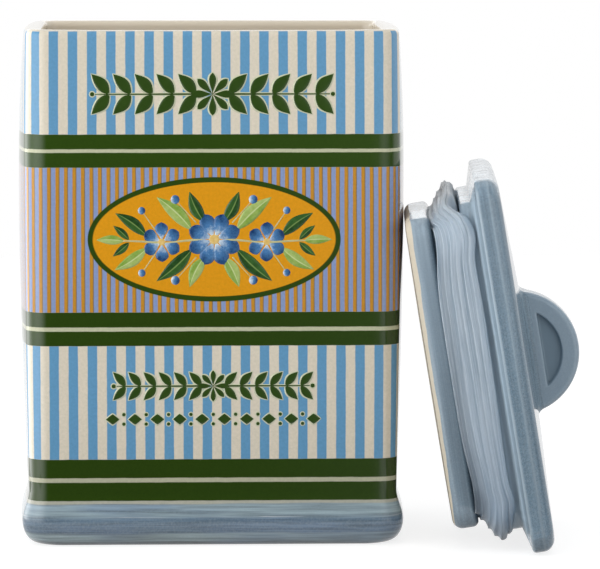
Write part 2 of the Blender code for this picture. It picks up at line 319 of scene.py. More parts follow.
class Value:
    """A node's output. What is worked out from outputs is written as a formula."""

    def __init__(self, nodes, socket):
        self.nodes = nodes
        self.socket = socket

    def __getitem__(self, output):
        """Another output of the same node."""
        return Value(self.nodes, self.socket.node.outputs[output])

    def __add__(self, other):
        return self.nodes.math("ADD", self, other)

    def __sub__(self, other):
        return self.nodes.math("SUBTRACT", self, other)

    def __mul__(self, other):
        return self.nodes.math("MULTIPLY", self, other)

    def __abs__(self):
        return self.nodes.math("ABSOLUTE", self)

    def ramp(self, low, high, to_low, to_high, kind="LINEAR"):
        """Runs from one number to another while this value runs from low to high."""
        feeds = (self, low, high, to_low, to_high)
        return self.nodes.node("ShaderNodeMapRange", feeds, interpolation_type=kind)

    def rise(self, low, high, level=1):
        return self.ramp(low, high, 0, level)

    def fall(self, low, high, level=1, kind="LINEAR"):
        return self.ramp(low, high, level, 0, kind)


class Nodes:
    """A node tree whose nodes are added and joined by short calls."""

    def __init__(self, tree):
        self.tree = tree

    def feed(self, socket, value):
        if isinstance(value, Value):
            self.tree.links.new(value.socket, socket)
        else:
            socket.default_value = (*value, 1) if socket.type == "RGBA" else value

    def node(self, kind, feeds=(), output=0, **settings):
        """A new node's output, its sockets fed in order or by name."""
        made = self.tree.nodes.new(kind)
        for name, value in settings.items():
            setattr(made, name, value)
        for key, value in feeds.items() if isinstance(feeds, dict) else enumerate(feeds):
            self.feed(made.inputs[key], value)
        return Value(self, made.outputs[output])

    def math(self, operation, *values):
        return self.node("ShaderNodeMath", values, operation=operation)

    def parts(self, vector):
        """The three parts of a vector."""
        first = self.node("ShaderNodeSeparateXYZ", (vector,))
        return first, first[1], first[2]

    def mix(self, factor, first, second, blend="MIX"):
        feeds = {"Factor": factor, "A": first, "B": second}
        return self.node("ShaderNodeMix", feeds, "Result", data_type="RGBA", blend_type=blend)

    def tint(self, colour, tone, share=1):
        """Multiplies a colour by a tone."""
        return self.mix(share, colour, tone, "MULTIPLY")

    def cover(self, colour, *layers):
        """Lays colours over a colour, each where its mask says."""
        for mask, over in layers:
            colour = self.mix(mask, colour, over)
        return colour


class Shader(Nodes):
    """A principled material that knows its place on the object, or in the lid's own frame."""

    def __init__(self, name, matrix=None):
        self.material = bpy.data.materials.new(name)
        self.material.use_nodes = True
        super().__init__(self.material.node_tree)
        self.where = self.node("ShaderNodeTexCoord", output="Object")
        if matrix:
            feeds = {"Vector": self.where, "Location": matrix.translation, "Rotation": matrix.to_euler()}
            self.where = self.node("ShaderNodeMapping", feeds, vector_type="TEXTURE")
        self.x, _, self.z = self.parts(self.where)

    def set(self, **values):
        """Feeds the shader's sockets, whose names have spaces for the underscores."""
        surface = self.tree.nodes["Principled BSDF"]
        for name, value in values.items():
            self.feed(surface.inputs[name.replace("_", " ")], value)

    def spread(self, map_name):
        """The two coordinates of a map."""
        return self.parts(self.node("ShaderNodeUVMap", uv_map=map_name))[:2]

    def noise(self, scale, detail=2, rough=0.5, stretch=None, where=None):
        where = where or self.where
        if stretch:
            where = self.node("ShaderNodeMapping", {"Vector": where, "Scale": stretch})
        feeds = {"Vector": where, "Scale": scale, "Detail": detail, "Roughness": rough}
        return self.node("ShaderNodeTexNoise", feeds)

    def waver(self, reach, scale, detail):
        """A length that wanders over a reach, half of it either way."""
        return (self.noise(scale, detail) - 0.5) * reach

    def bump(self, height, distance):
        return self.node("ShaderNodeBump", {"Strength": 1, "Distance": distance, "Height": height})

    def glaze(self, colour, roughness=0.05, ripple=0.03 * MM):
        """Gloss with the slight ripple of fired glaze."""
        self.set(Base_Color=colour, Roughness=roughness, IOR=1.5, Normal=self.bump(self.noise(90), ripple))
        return self.material


# Materials


def banded(height, column):
    """What a column of the table of bands says, by height."""
    result = BANDS[0][column]
    for band in BANDS[1:]:
        mask = height.rise(band[0] * MM - EDGE_BLUR, band[0] * MM + EDGE_BLUR)
        result = height.nodes.mix(mask, result, band[column])
    return result


def print_material(perimeter):
    """Level bands, two kinds of stripes round the jar, the oval and the foot's glaze."""
    look = Shader("printed_glaze")
    waver = look.waver(0.3 * MM, 160, 3)
    height = look.z + waver
    along = look.spread("print")[0] + waver

    def share_of_pitch(count, start):
        return look.math("FRACT", (along - start) * (count / perimeter))

    wide = share_of_pitch(WIDE_STRIPES, WIDE_START - 0.5 * perimeter / WIDE_STRIPES)
    fine = share_of_pitch(FINE_STRIPES, FINE_START)
    wide_colour = look.mix(abs(wide - 0.5).fall(0.235, 0.265), CREAM, BLUE)
    fine_colour = look.mix(abs(fine - 0.26).fall(0.24, 0.28), STRIPE_ORANGE, LAVENDER)
    fine_colour = look.mix(fine.rise(0.88, 0.92), fine_colour, RUST)

    zone = look.node("ShaderNodeSeparateColor", (banded(height, 2),))

    def oval(inset, blur):
        """1 inside the oval drawn in by a distance."""
        across = (look.x - OVAL_X) * (1 / (OVAL_HALF_WIDTH - inset))
        up = (look.z - OVAL_Z) * (1 / (OVAL_HALF_HEIGHT - inset))
        return (across * across + up * up).fall(1 - blur, 1 + blur)

    colour = look.cover(
        banded(height, 1),
        (zone, wide_colour),
        (zone[1], fine_colour),
        (oval(0, 0.005), GREEN),
        (oval(OVAL_RING, 0.01), ORANGE),
    )
    grain = look.mix(look.noise(900, 3, 0.6).rise(0.3, 0.7), (0.86, 0.88, 0.86), (1.1, 1.08, 1.1))
    colour = look.tint(colour, grain, 0.55)
    foot_edge = look.waver(1.6 * MM, 30, 2) + FOOT_GLAZE_TOP
    foot = (look.z - foot_edge).fall(-0.3 * MM, 0.3 * MM)
    return look.glaze(look.mix(foot, colour, foot_glaze(look)))


def foot_glaze(look):
    """Level streaks between paler belts that are partly painted reflection, with a painted glint and fine
    mottling.
    """
    streaks = look.noise(60, 4, 0.6, (0.3, 0.3, 6))
    drawn = look.noise(170, 4, 0.65, (0.16, 0.16, 5))
    cloud = look.noise(38, 2, 0.5, (0.5, 0.5, 3))
    fine = look.noise(1100, 3, 0.7)
    height = look.z + (streaks - 0.5) * (3 * MM)
    colour = look.cover(
        look.mix(streaks, (0.09, 0.15, 0.215), (0.165, 0.225, 0.29)),
        # The paler belts are partly the glaze's own tone and partly painted reflection; the bottom edge is
        # darker
        (height.rise(11.3 * MM, 12.9 * MM, 0.8), (0.31, 0.4, 0.435)),
        (height.fall(5.2 * MM, 6 * MM, 0.85), (0.38, 0.48, 0.505)),
        (height.fall(1.6 * MM, 2.2 * MM), (0.16, 0.2, 0.22)),
        (cloud.rise(0.45, 0.62, 0.45), (0.15, 0.225, 0.35)),
    )
    # Painted glint: a thin pale line across the foot
    painted_glint = abs(height - 12.1 * MM).fall(0, 0.18 * MM, 0.8) * cloud.rise(0.4, 0.5)
    return look.cover(
        look.tint(colour, drawn.ramp(0.35, 0.65, 0.6, 1.35), 0.8),
        (painted_glint, (0.62, 0.66, 0.7)),
        (fine.rise(0.4, 0.7, 0.35), (0.28, 0.35, 0.395)),
    )


def cream_material():
    """The jar's inside: painted shade deepens the cream below the rim, and the back wall has one pinhole.
    """
    look = Shader("cream_glaze")
    tint = look.noise(25, 3)
    # Painted shade: the upper inner wall darker and warmer below the rim
    shade_below_rim = (tint * (2 * MM) + look.z).fall(JAR_HEIGHT - 9 * MM, JAR_HEIGHT - 0.5 * MM)
    upper_wall = look.z.rise(165 * MM, 192 * MM)
    off = look.node("ShaderNodeVectorMath", (look.where, PINHOLE), "Value", operation="DISTANCE")
    return look.glaze(look.cover(
        look.mix(tint, (0.68, 0.6, 0.48), (0.74, 0.67, 0.55)),
        (shade_below_rim * upper_wall, (0.47, 0.39, 0.28)),
        (off.fall(0.6 * MM, 1 * MM, 0.92), (0.06, 0.04, 0.03)),
    ))


def clay_material():
    look = Shader("bare_clay")
    grain = look.noise(1400, 4, 0.7)
    colour = look.mix(grain, (0.6, 0.5, 0.37), (0.74, 0.66, 0.52))
    look.set(Base_Color=colour, Roughness=0.85, Normal=look.bump(grain, 0.1 * MM))
    return look.material


def lid_glaze_colour(look):
    """Blue-grey glaze that ran a little along the lid, so its tones lie in streaks."""
    broad = look.noise(42, 3, 0.5, (0.1, 1, 3))
    streaks = look.noise(120, 4, 0.6, (0.07, 1, 5))
    fine = look.noise(1000, 4, 0.7)
    grain = look.noise(1700, 3, 0.7)
    colour = look.cover(
        look.mix(broad, (0.11, 0.19, 0.275), (0.195, 0.265, 0.315)),
        (streaks.rise(0.35, 0.7, 0.45), (0.21, 0.295, 0.365)),
        (fine.rise(0.42, 0.66, 0.42), (0.255, 0.32, 0.37)),
    )
    return look.tint(colour, grain.ramp(0.35, 0.65, 0.84, 1.16))


def lid_material(matrix):
    """Glaze with painted highlight lines along the cover's sides, painted light on the flange, the neck and
    the cover's upper end, painted shade on the flange's lip, and bare clay underneath with a painted shadow
    line along its edge.
    """
    look = Shader("lid_glaze", matrix)
    x, z = look.x, look.z
    height = z + look.waver(0.9 * MM, 45, 3)
    # Painted highlights: two pale lines along the cover's sides
    painted_edge_highlight = abs(height - COVER_EDGE_PAINTED_HIGHLIGHT).fall(0, 1.3 * MM, 0.75, "SMOOTHSTEP")
    painted_top_highlight = abs(height - COVER_TOP_PAINTED_HIGHLIGHT).fall(0, 0.8 * MM, 0.45, "SMOOTHSTEP")
    past_flange, past_plug = z - FLANGE_HEIGHT, z - PLUG_TOP
    # Painted shade: the flange's upper edge darkened next to the gasket
    flange_lip_shade = past_flange.rise(-1.8 * MM, -0.4 * MM, 0.8) * past_flange.fall(0, 0.2 * MM)
    # Painted light: the neck and the cover's underside paler, against the shade between gasket and cover
    neck = z.rise(GROOVE_TOP - 0.6 * MM, GROOVE_TOP, 0.85) * past_plug.fall(1.2 * MM, COVER_RISE)
    colour = look.cover(
        lid_glaze_colour(look),
        (painted_edge_highlight, PAINTED_HIGHLIGHT_BLUE),
        (painted_top_highlight, PAINTED_HIGHLIGHT_BLUE),
        # Painted light: the flange's face paler, most towards the upper end
        (past_flange.fall(-2.8 * MM, -0.8 * MM) * x.ramp(-65 * MM, 65 * MM, 0.7, 0.25), (0.37, 0.45, 0.52)),
        (flange_lip_shade, (0.06, 0.085, 0.11)),
        (neck, (0.44, 0.55, 0.64)),
        # Painted light: the cover paler towards its upper end
        (past_plug.rise(0, 1 * MM) * x.fall(-70 * MM, 0, 0.25), (0.34, 0.42, 0.5)),
    )
    drawn = look.noise(210, 3, 0.6, (0.05, 1, 4))
    colour = look.tint(colour, drawn.ramp(0.35, 0.65, 0.87, 1.11))

    glaze_edge = x.ramp(-60 * MM, 60 * MM, 2.4 * MM, 1.1 * MM) + look.waver(1.6 * MM, 70, 3)
    bare = (z - glaze_edge).fall(-0.1 * MM, 0.1 * MM)
    clay = look.mix(look.noise(1200, 4, 0.7), (0.57, 0.51, 0.41), CLAY)
    # Painted shadow: a dark line along the plug's bare bottom edge
    rim = z.rise(-0.08 * MM, -0.03 * MM) * z.fall(0.2 * MM, 0.45 * MM, 0.75)
    clay = look.mix(rim, clay, (0.09, 0.08, 0.07))

    # A slight ripple, and deeper runs over the two ends
    runs = look.noise(150, 4, 0.6, (1, 0.33, 0.35)) * abs(x).rise(60 * MM, 68 * MM)
    relief = look.bump(runs * 30 + look.noise(90), 0.05 * MM)
    look.set(Base_Color=look.mix(bare, colour, clay), Roughness=bare.ramp(0, 1, 0.07, 0.8))
    look.set(IOR=1.5, Normal=relief)
    return look.material


def handle_material(matrix):
    """The lid's glaze, darker in the dishes."""
    look = Shader("handle_glaze", matrix)
    up = look.z - HANDLE_CENTRE
    outside = look.math("SQRT", look.x * look.x + up * up) - DISH_RADIUS
    past = look.math("MAXIMUM", outside, look.math("SUBTRACT", DISH_BASE, up))
    colour = look.cover(
        lid_glaze_colour(look),
        (0.63, (0.345, 0.43, 0.51)),
        # Darker inside the dishes
        (past.fall(-0.5 * MM, 0), (0.18, 0.25, 0.31)),
    )
    return look.glaze(colour, 0.07, 0.04 * MM)


def silicone_material(matrix):
    """Milky silicone, streaked along the fins, with painted light and shade: a pale line at each fin's
    flange-side edge, shade towards its cover-side edge, over the first fins and towards the lower end. Its
    map counts the fins across.
    """
    look = Shader("silicone", matrix)
    along, fins = look.spread("fins")

    def drawn_out(along_scale, across_scale, detail):
        stretched = look.node("ShaderNodeCombineXYZ", (along * along_scale, fins * across_scale))
        return look.noise(1, detail, 0.6, where=stretched)

    x = look.x
    streaks = drawn_out(30, 6, 4)
    across = look.math("FRACT", fins)
    colour = look.cover(
        look.mix(drawn_out(26, 0.9, 2).rise(0.3, 0.7), (0.27, 0.35, 0.43), (0.46, 0.53, 0.6)),
        (streaks.rise(0.38, 0.64, 0.7), (0.5, 0.585, 0.67)),
        # Painted shade towards each fin's cover-side edge, and a painted highlight at its flange-side edge
        (across.rise(0.55, 1, 0.25), (0.24, 0.33, 0.41)),
        (across.fall(0, 0.2, 0.45) * fins.rise(0.4, 0.9), (0.56, 0.64, 0.72)),
    )
    # Painted shade over the first fins next to the flange, deepest towards the lower end
    shaded_first_fins = fins.fall(0, 2.3) * x.ramp(-58 * MM, 50 * MM, 0.2, 1)
    colour = look.tint(colour, (0.3, 0.31, 0.32), shaded_first_fins)
    # Painted shade: darker towards the lower end
    colour = look.tint(colour, (0.8, 0.84, 0.89), x.rise(0, 65 * MM))
    colour = look.mix(abs(x).rise(60 * MM, 71 * MM, 0.6), colour, (0.37, 0.38, 0.385))
    look.set(Base_Color=colour, Roughness=0.38, IOR=1.41, Normal=look.bump(streaks, 0.3 * MM))
    look.set(Subsurface_Weight=0.6, Subsurface_Scale=3 * MM, Subsurface_Radius=WHITE)
    return look.material


def leaf_material(name, dark, light, vein):
    """A printed leaf: its blade runs along u, with a pale midrib at the middle of v."""
    look = Shader(name)
    _, across = look.spread("paint")
    tone = look.noise(420, 3, 0.6) * 1.3 + (across.rise(0.42, 0.6) - 1) * 0.45
    rib = abs(across - 0.5).fall(0.02, 0.07, 0.75)
    return look.glaze(look.cover(look.mix(tone, dark, light), (rib, vein)))


def petal_material():
    """Brushed blue: pale and speckled towards the flower's middle, deep at the rim."""
    look = Shader("petal_blue")
    brushed = look.noise(1500, 3, 0.7) * 0.5 + look.noise(330) * 0.7 - 0.6
    along = look.spread("paint")[0] + brushed
    colour = look.mix(along.rise(0, 0.45), (0.66, 0.76, 0.82), (0.07, 0.2, 0.42))
    return look.glaze(look.mix(along.rise(0.45, 1), colour, (0.008, 0.035, 0.12)))


def ink_material(name, first, second, scale=300):
    look = Shader(name)
    return look.glaze(look.mix(look.noise(scale, 3, 0.6), first, second))


# Jar


def below_widest(height):
    """Square of the share of the way down from the widest height to the foot."""
    return min(1, max(0, (WIDEST_HEIGHT - height) / (WIDEST_HEIGHT - FOOT_TOP))) ** 2


def end_swell(height):
    """How far the end walls stand past the jar's corners at a height."""
    above = max(0, (height - WIDEST_HEIGHT) / (JAR_HEIGHT - WIDEST_HEIGHT)) ** 2
    foot = END_SWELL_FOOT if height < WIDEST_HEIGHT else END_SWELL_RIM
    return between(END_SWELL_WIDEST, foot, above + below_widest(height))


def body_inset(height):
    """How far the walls stand in at a height, most at the foot."""
    return WAIST_INSET * below_widest(height)


def wall_wobble(point):
    """The small unevenness of a cast wall, outwards."""
    return WALL_WOBBLE * noise.noise(point * 22)


def jar_ring(height, inset, corner, swell_share=1):
    """A ring of the jar, which wavers near the rim and dips along the front there."""
    swell = swell_share * end_swell(height)
    plan = rounded_plan(JAR_HALF_WIDTH - inset, JAR_HALF_DEPTH - inset, corner, swell, JAR_STEPS)
    ring = []
    for flat in plan:
        point = Vector((flat.x, flat.y, height))
        outward = Vector(((flat.x / JAR_HALF_WIDTH) ** 7, (flat.y / JAR_HALF_DEPTH) ** 7, 0))
        point += outward.normalized() * wall_wobble(point)
        if height > JAR_HEIGHT - 3 * LIP_ROUND:
            point.z += WALL_WOBBLE * noise.noise(Vector((flat.x, flat.y, 0.3)) * 18)
            middle = 1 - (flat.x / JAR_HALF_WIDTH) ** 4
            point.z -= LIP_DIP * middle * smooth_step(-flat.y / JAR_HALF_DEPTH)
        ring.append(point)
    return ring


def jar_outer_rings():
    """Round the foot, in to the wall and up to the lip."""
    rings = []
    low_corner = JAR_CORNER - LOW_CORNER_LOSS
    foot_corner = low_corner + FOOT_FLARE
    for left, gone in quarter_round(10):
        rings.append(jar_ring(FOOT_PEAK * gone, FOOT_UNDERCUT * left - FOOT_FLARE, foot_corner))
    for step in range(1, 11):
        eased = smooth_step(step / 10)
        inset = between(-FOOT_FLARE, WAIST_INSET, eased)
        corner = between(foot_corner, low_corner, eased)
        rings.append(jar_ring(between(FOOT_PEAK, FOOT_TOP, step / 10), inset, corner))
    for step in range(1, 49):
        height = between(FOOT_TOP, LIP_BASE, step / 48)
        rings.append(jar_ring(height, body_inset(height), between(low_corner, JAR_CORNER, step / 48)))
    return rings


def jar_inner_rings():
    """Over the lip, down the inside and in to the floor."""
    rings = []
    for left, gone in quarter_round(LIP_STEPS, 1):
        inset = LIP_ROUND * gone
        rings.append(jar_ring(JAR_HEIGHT - LIP_ROUND * left, inset, JAR_CORNER - inset))
    for left, gone in reversed(quarter_round(LIP_STEPS)):
        inset = WALL - LIP_ROUND * gone
        rings.append(jar_ring(JAR_HEIGHT - LIP_ROUND * left, inset, MOUTH_CORNER, MOUTH_SWELL_SHARE))
    floor_top = FLOOR + FLOOR_ROUND
    for step in range(1, 25):
        height = between(LIP_BASE, floor_top, step / 24)
        swell_share = between(MOUTH_SWELL_SHARE, 1, smooth_step(step / 10))
        rings.append(jar_ring(height, body_inset(height) + WALL, MOUTH_CORNER, swell_share))
    for left, gone in quarter_round(8, 1):
        inset = body_inset(floor_top) + WALL + FLOOR_ROUND * gone
        rings.append(jar_ring(FLOOR + FLOOR_ROUND * left, inset, MOUTH_CORNER))
    return rings


def arc_lengths():
    """Distance of each column round the jar from the middle of the front, and all the way round."""
    plan = rounded_plan(JAR_HALF_WIDTH, JAR_HALF_DEPTH, JAR_CORNER, END_SWELL_RIM, JAR_STEPS)
    lengths = plan_lengths(plan)
    corner_steps, side_steps, end_steps = JAR_STEPS
    front_start = 3 * corner_steps + side_steps + end_steps
    front_middle = (lengths[front_start] + lengths[front_start + side_steps]) / 2
    return [length - front_middle for length in lengths], lengths[-1]


def build_jar():
    around, perimeter = arc_lengths()
    base = [jar_ring(BASE_RECESS, BASE_INSET + RECESS_SLOPE, JAR_CORNER)]
    base.append(jar_ring(0, BASE_INSET, JAR_CORNER))
    outer = jar_outer_rings()
    rings = base + outer + jar_inner_rings()
    count = len(rings[0])
    mesh = loft("jar", rings, map_name="print",
                place=lambda row, column: (around[column], rings[row][column % count].z))
    printed, inside, bare = range(3)
    first_inside = len(base) + len(outer) + LIP_STEPS
    for index, face in enumerate(mesh.polygons):
        row = index // count
        face.material_index = bare if row < len(base) else printed if row < first_inside else inside
    mesh.polygons[count * (len(rings) - 1)].material_index = bare
    materials = (print_material(perimeter), cream_material(), clay_material())
    jar = add_piece("jar", mesh, materials, "jar")
    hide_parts("jar_body")


# Painted ornament on the front and the back


def leaf_shape(share):
    return sin(pi * share**0.85) ** 0.9


def petal_shape(share):
    return sin(pi * share**1.7) ** 0.75


def dot_shape(share):
    return 2 * sqrt(max(0, share * (1 - share)))


def stem_shape(share):
    return 1 - 0.45 * share


def lozenge_shape(share):
    return 1 - abs(2 * share - 1) ** 1.3


class Paint:
    """Thin raised shapes on the jar's front and back, in one mesh for each material."""

    def __init__(self, name):
        self.name = name
        self.bm = bmesh.new()
        self.layer = self.bm.loops.layers.uv.new("paint")
        self.count = 0

    def place(self, x, z, side, rise):
        depth = JAR_HALF_DEPTH - body_inset(z)
        wobble = wall_wobble(Vector((x * -side, depth * side, z)))
        return Vector((x * -side, side * (depth + wobble + rise), z))

    def blade(self, x, z, angle, length, width, bend=0, shape=leaf_shape, rise=INK, steps=(12, 6)):
        """A leaf, petal, stem or dot from a base point, whose shape goes from base to tip."""
        self.count += 1
        rise += INK_STEP * (self.count % 7)
        lines = []
        for step in range(steps[0] + 1):
            share = step / steps[0]
            heading = angle + bend * (2 * share - 1)
            arch = bend * share * (share - 1)
            middle_x = x + length * (share * cos(angle) + arch * sin(angle))
            middle_z = z + length * (share * sin(angle) - arch * cos(angle))
            half = max(0.03 * MM, shape(share) * width / 2)
            line = []
            for cross in range(steps[1] + 1):
                t = 2 * cross / steps[1] - 1
                crown = min(1, 6 * min(share, 1 - share) + 0.15) * max(0, 1 - t**6)
                line.append((middle_x - t * half * sin(heading), middle_z + t * half * cos(heading),
                             rise * crown + 0.01 * MM))
            lines.append(line)
        for side in (-1, 1):
            rows = []
            for line in lines:
                points = [self.place(px, pz, side, height) for px, pz, height in line]
                points += [self.place(px, pz, side, INK_ROOT) for px, pz, height in reversed(line)]
                rows.append([self.bm.verts.new(point) for point in points])
            self.close(rows, steps)

    def close(self, rows, steps):
        """Joins sections, each over the top and back along the root, and fills both ends."""
        count = len(rows[0])

        def place(row, column):
            column %= count
            return row / steps[0], min(column, count - 1 - column) / steps[1]

        bridge(self.bm, rows, layer=self.layer, place=place)
        for row in (0, steps[0]):
            for column in range(steps[1]):
                columns = (column, column + 1, count - 2 - column, count - 1 - column)
                face = self.bm.faces.new([rows[row][index] for index in columns])
                face.smooth = True
                for loop, index in zip(face.loops, columns):
                    loop[self.layer].uv = place(row, index)

    def dot(self, x, z, size, rise=INK):
        self.blade(x - size / 2, z, 0, size, size, 0, dot_shape, rise, (12, 8))

    def finish(self, material):
        bmesh.ops.recalc_face_normals(self.bm, faces=self.bm.faces)
        add_piece(self.name, finished_mesh(self.bm, self.name), (material,), "jar")


def flower(petals, x, z, count, length, width, turn):
    for petal in range(count):
        angle = turn + TAU * petal / count
        start = Vector((cos(angle), sin(angle))) * FLOWER_EYE
        petals.blade(x + start.x, z + start.y, angle, length, width, shape=petal_shape)


def build_medallion():
    """A mirrored spray of flowers and leaves in the oval, in millimetres and degrees."""
    stems, dark, pale = Paint("medallion_stems"), Paint("medallion_leaves"), Paint("medallion_pale_leaves")
    petals, hearts = Paint("medallion_petals"), Paint("medallion_hearts")
    leaves = (
        (4, 7, 64, 13.5, 5.2, -0.2, dark),
        (4, -7, -64, 13.5, 5.2, 0.2, pale),
        (9, 4, 43, 19, 5.8, 0.16, pale),
        (9, -4, -42, 19, 5.8, -0.16, dark),
        (27, 1.5, 36, 15.5, 5, 0.2, dark),
        (27, -3.5, -34, 15.5, 5, -0.2, pale),
        (36, -0.5, 2, 11, 3.8, 0.1, pale),
        (34, -0.1, 42, 8.5, 3, 0.1, dark),
        (34, -1.2, -40, 8.5, 3, -0.1, dark),
    )
    berries = (
        (15.6, 16, 3.6, 48, 12.5),
        (15.6, -16.4, 3.6, -48, 12.5),
        (29, 11.6, 3, 55, 9.5),
        (29, -13.4, 3, -55, 9.5),
    )
    branches = ((4, 0, 20, -1.5), (20, -1.5, 37, -0.5))
    for direction in (1, -1):

        def spot(x, z):
            return OVAL_X + direction * x * MM, OVAL_Z + z * MM

        for x, z, degrees, length, width, bend, paint in leaves:
            angle = mirrored(radians(degrees), direction)
            paint.blade(*spot(x, z), angle, length * MM, width * MM, bend * direction, rise=INK * 0.6)
        for x, z, end_x, end_z in branches:
            angle = atan2(end_z - z, (end_x - x) * direction)
            length = hypot(end_x - x, end_z - z) * MM
            stems.blade(*spot(x, z), angle, length, 1 * MM, 0.05 * direction, stem_shape, INK * 0.8)
        side_flower = spot(21, -1)
        flower(petals, *side_flower, 6, 7.4 * MM, 5.3 * MM, 0.5 * direction)
        hearts.dot(*side_flower, 3 * MM, INK * 1.6)
        for x, z, size, degrees, stalk in berries:
            petals.dot(*spot(x, z), size * MM)
            turn = radians(degrees)
            root = spot(x - stalk * cos(turn), z - stalk * sin(turn))
            stems.blade(*root, mirrored(turn, direction), stalk * MM, 0.5 * MM, 0, stem_shape, INK * 0.5)
    flower(petals, OVAL_X, OVAL_Z, 8, 10.4 * MM, 6.2 * MM, radians(22.5))
    hearts.dot(OVAL_X, OVAL_Z, 4.4 * MM, INK * 1.8)
    stems.finish(ink_material("stem_paint", (0.4, 0.36, 0.16), (0.62, 0.62, 0.34)))
    dark.finish(leaf_material("leaf_dark", (0.014, 0.05, 0.012), (0.05, 0.14, 0.03), (0.22, 0.34, 0.1)))
    pale.finish(leaf_material("leaf_pale", (0.2, 0.34, 0.05), (0.44, 0.54, 0.19), (0.62, 0.7, 0.36)))
    petals.finish(petal_material())
    hearts.finish(ink_material("heart_paint", (0.6, 0.33, 0.04), (0.82, 0.66, 0.3), 900))


def border(paint, outline, z, half_width, height, leaf_count, leaf_width):
    """A mirrored laurel: paired leaves along a stem on both sides of a rosette."""
    pitch = half_width / (leaf_count + 0.6)
    spread = radians(48)
    length = min(pitch * 1.25, height / 2 / sin(spread))
    for target, grow, rise in ((outline, 0.35 * MM, INK * 0.4), (paint, 0, INK)):
        for direction in (1, -1):
            target.blade(direction * pitch * 0.4, z, mirrored(0, direction), half_width - pitch * 0.45,
                         0.9 * MM + 2 * grow, 0, stem_shape, rise)
            for index in range(leaf_count):
                for up in (1, -1):
                    angle = mirrored(spread * up, direction)
                    base_x = direction * pitch * (index + 0.75) - grow * cos(angle)
                    target.blade(base_x, z - grow * sin(angle), angle, length + 2 * grow,
                                 leaf_width + 2 * grow, 0.12 * up * direction, rise=rise)
            target.dot(direction * (half_width - pitch * 0.05), z, 1.9 * MM + 2 * grow, rise)
        width = height * 0.2 + 2 * grow
        for petal in range(8):
            target.blade(0, z, TAU * petal / 8, height / 2 + grow, width, 0, petal_shape, rise)


def chain(paint, outline, z, half_width, height, count):
    """A row of lozenges and pairs of dots."""
    pitch = 2 * half_width / count
    for target, grow, rise in ((outline, 0.3 * MM, INK * 0.4), (paint, 0, INK)):
        for index in range(count):
            x = -half_width + pitch * (index + 0.5)
            if index % 2:
                for up in (0.3, -0.3):
                    target.dot(x, z + up * height, height * 0.24 + 2 * grow, rise)
            else:
                length, width = pitch * 1.24 + 2 * grow, height * 0.72 + 2 * grow
                target.blade(x - length / 2, z, 0, length, width, 0, lozenge_shape, rise)


def build_borders():
    paint, outline = Paint("border_green"), Paint("border_outline")
    border(paint, outline, 182.2 * MM, 48.4 * MM, 17.2 * MM, 5, 5.2 * MM)
    border(paint, outline, 65 * MM, 40.2 * MM, 12.6 * MM, 6, 3.6 * MM)
    chain(paint, outline, 51.6 * MM, 42.6 * MM, 6.4 * MM, 19)
    outline.finish(ink_material("outline_paint", (0.52, 0.56, 0.36), (0.6, 0.62, 0.44)))
    paint.finish(ink_material("border_paint", (0.022, 0.052, 0.008), (0.036, 0.076, 0.012)))


# Lid


def lid_ring(height, half_width, half_depth, corner, swell=LID_END_SWELL):
    """A ring of the lid, a little uneven, with the upper end a little askew."""
    ring = []
    for flat in rounded_plan(half_width, half_depth, corner, swell, LID_STEPS):
        point = Vector((flat.x, flat.y, height))
        shift = LID_WOBBLE * noise.noise(point * 26 + Vector((3, 7, 1)))
        point += Vector((flat.x / half_width, flat.y / half_depth, 0)) * shift
        point.x -= UPPER_END_SKEW * flat.y * smooth_step(-flat.x / half_width)
        ring.append(point)
    return ring


def mouth_ring(height, clearance):
    """A ring of the plug, at a clearance inside the jar's mouth."""
    corner = GROOVE_CORNER + GROOVE_ROOT - clearance
    return lid_ring(height, MOUTH_HALF_WIDTH - clearance, MOUTH_HALF_DEPTH - clearance, corner)


def cover_ring(height, inset):
    inset -= COVER_OVERHANG
    return lid_ring(height, JAR_HALF_WIDTH - inset, JAR_HALF_DEPTH - inset, COVER_CORNER)


def crown_at(x, y):
    """Height of the crowned top."""
    half_width = JAR_HALF_WIDTH + COVER_OVERHANG - COVER_TOP_ROUND
    half_depth = JAR_HALF_DEPTH + COVER_OVERHANG - COVER_TOP_ROUND
    powers = [abs(share) ** CROWN_SQUARENESS for share in (x / half_width, y / half_depth)]
    size = min(1, sum(powers) ** (1 / CROWN_SQUARENESS))
    return COVER_SHOULDER + CROWN_HEIGHT * (1 - size**CROWN_POWER)


def plug_rings():
    """From the slightly domed underside, over the flange, the groove and the neck."""
    rings = []
    for share in (0.35, 0.7, 0.9):
        ring = mouth_ring(-PLUG_DOME * (1 - share**2), FLANGE_CLEARANCE + PLUG_ROUND)
        rings.append([Vector((point.x * share, point.y * share, point.z)) for point in ring])
    for left, gone in quarter_round(8):
        rings.append(mouth_ring(PLUG_ROUND * gone, FLANGE_CLEARANCE + PLUG_ROUND * left))
    for left, gone in quarter_round(5):
        height = FLANGE_HEIGHT - FLANGE_EDGE_ROUND * left
        rings.append(mouth_ring(height, FLANGE_CLEARANCE + FLANGE_EDGE_ROUND * gone))
    rings += [mouth_ring(FLANGE_HEIGHT, GROOVE_ROOT), mouth_ring(GROOVE_TOP, GROOVE_ROOT)]
    for left, gone in reversed(quarter_round(5)):
        height = GROOVE_TOP + PLUG_EDGE_ROUND * left
        rings.append(mouth_ring(height, NECK_CLEARANCE + PLUG_EDGE_ROUND * gone))
    return rings + [mouth_ring(PLUG_TOP, NECK_CLEARANCE)]


def cover_rings():
    """Round the cover's lower and upper edges."""
    rings = []
    for left, gone in quarter_round(8):
        rings.append(cover_ring(PLUG_TOP + COVER_RISE + COVER_LOW_ROUND * gone, COVER_LOW_ROUND * left))
    for left, gone in quarter_round(12):
        rings.append(cover_ring(COVER_SHOULDER - COVER_TOP_ROUND * left, COVER_TOP_ROUND * gone))
    return rings


